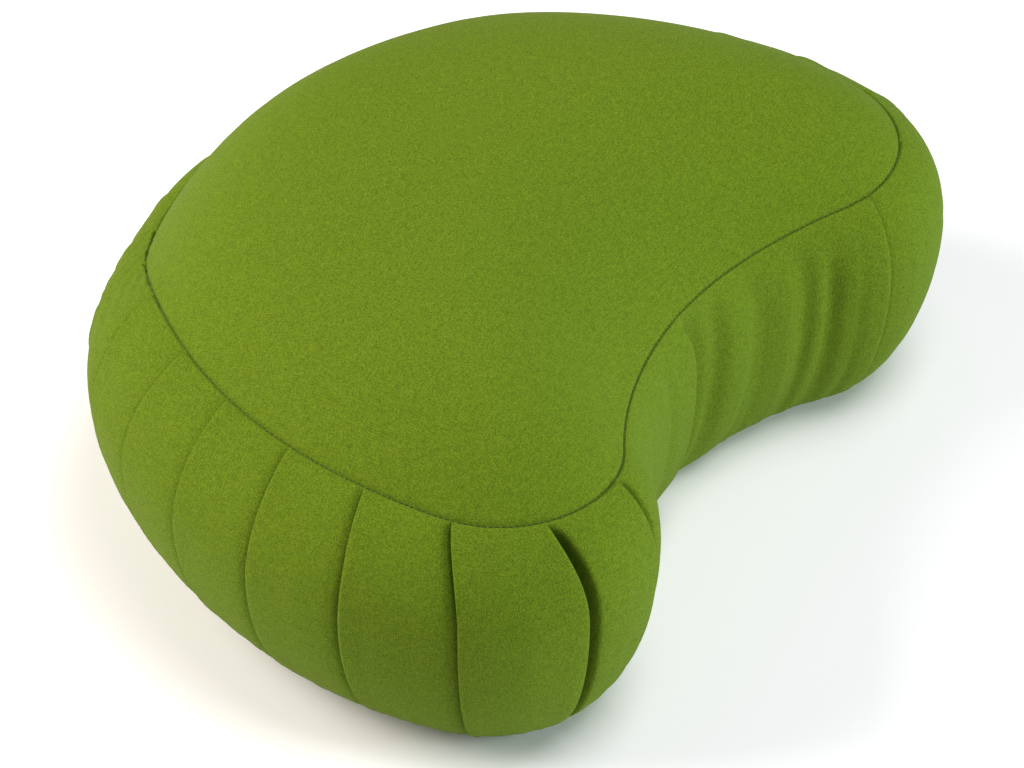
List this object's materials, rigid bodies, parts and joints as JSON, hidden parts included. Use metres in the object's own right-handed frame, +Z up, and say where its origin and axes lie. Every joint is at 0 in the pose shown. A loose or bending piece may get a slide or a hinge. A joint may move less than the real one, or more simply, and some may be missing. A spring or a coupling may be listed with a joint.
{
  "type": "crescent meditation cushion",
  "caption": "Filled cotton floor cushion, crescent in plan: crowned kidney-shaped top, knife-pleated side band, plain wrinkled band in the notch, flat base to sit on the floor.",
  "frame": {"origin": "on the floor, under the middle of the cushion's box", "axes": "+X from one horn to the other, -Y out of the notch, +Z up through the crown"},
  "size_m": [0.435, 0.3306, 0.1759],
  "materials": {
    "cotton_cover": "matte plain-woven cotton, olive green"
  },
  "bodies": {
    "root": {"cushion": "cotton_cover"}
  },
  "joints": []
}
